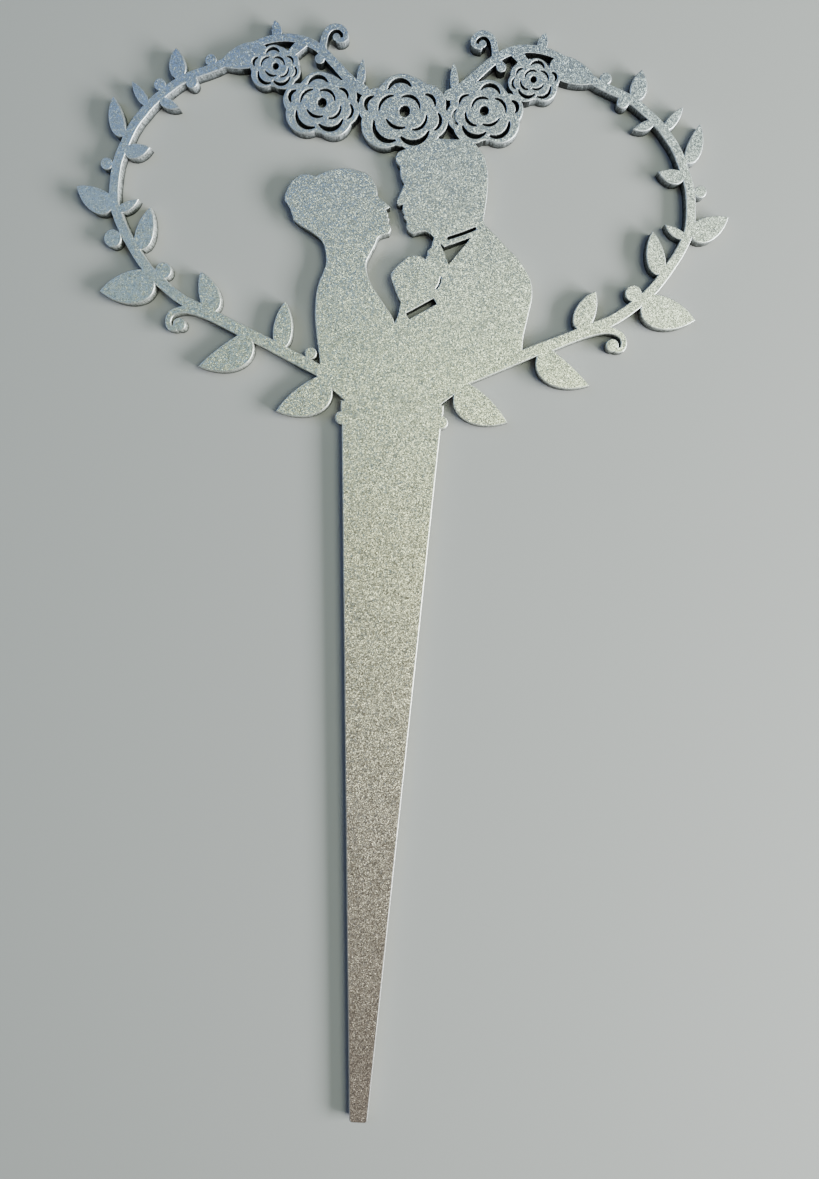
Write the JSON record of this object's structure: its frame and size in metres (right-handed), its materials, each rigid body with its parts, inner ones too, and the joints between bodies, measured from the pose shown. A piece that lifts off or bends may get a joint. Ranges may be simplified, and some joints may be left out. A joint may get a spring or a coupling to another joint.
{
  "type": "heart cake topper",
  "caption": "Heart-shaped cake topper on a long tapering stake, cut from silver-painted sheet: a leafy wreath, pierced roses and a couple in profile with a bouquet.",
  "frame": {"origin": "on the back face, midway along the shoulder line where the heart meets the stake", "axes": "+X across the heart to the viewer's right, +Y from the stake's tip towards the top of the heart, +Z out of the front face; the plate lies on its back"},
  "size_m": [0.15, 0.2641, 0.003],
  "materials": {
    "silver_paint": "metallic silver spray paint over the sheet, finely grained, with rougher cut walls"
  },
  "bodies": {
    "root": {"stake": "silver_paint", "bride_silhouette": "silver_paint", "groom_silhouette": "silver_paint", "bouquet": "silver_paint", "rose_centre": "silver_paint", "rose_large_left": "silver_paint", "rose_large_right": "silver_paint", "rose_small_left": "silver_paint", "rose_small_right": "silver_paint", "crown_left": "silver_paint", "crown_right": "silver_paint", "branch_lower_left": "silver_paint", "branch_lower_right": "silver_paint", "branch_side_left": "silver_paint", "branch_side_right": "silver_paint", "branch_upper_left": "silver_paint", "branch_upper_right": "silver_paint"}
  },
  "joints": []
}
